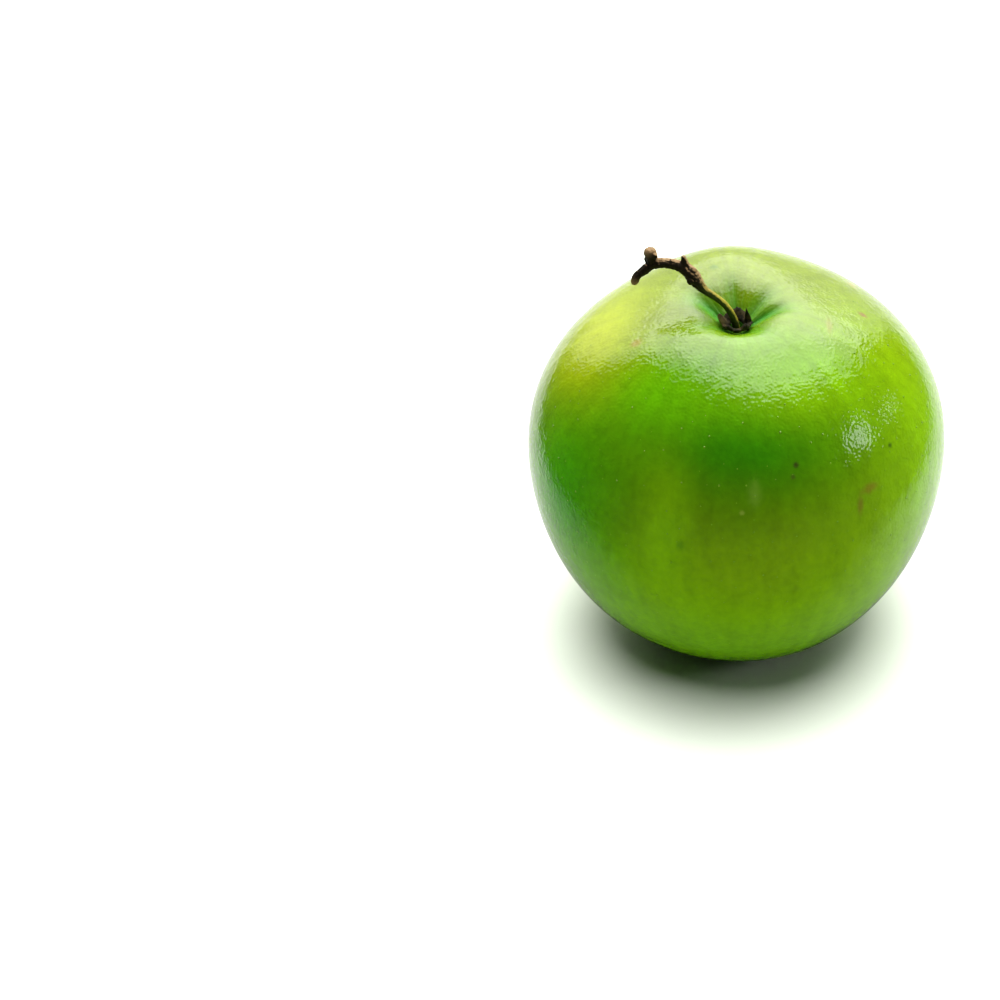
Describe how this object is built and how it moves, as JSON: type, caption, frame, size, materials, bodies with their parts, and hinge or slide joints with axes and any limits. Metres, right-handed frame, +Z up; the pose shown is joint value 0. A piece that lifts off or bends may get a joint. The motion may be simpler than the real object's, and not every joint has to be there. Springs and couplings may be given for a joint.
{
  "type": "jujube",
  "caption": "Whole round green fruit with a stem cavity, a dried calyx collar and a short branched woody stem; rests on the ring round its blossom end.",
  "frame": {"origin": "middle of the surface that the fruit rests on, below the middle of the whole object's box", "axes": "+Z up along the fruit's core to its stem cavity, -X to the side that the stem leans to, -Y to the front"},
  "size_m": [0.0604, 0.0598, 0.0638],
  "materials": {
    "skin": "glossy fruit skin",
    "calyx": "dried, matt",
    "bark": "rough bark, matt"
  },
  "bodies": {
    "root": {"fruit": "skin", "calyx": "calyx", "stem": "bark"}
  },
  "joints": []
}
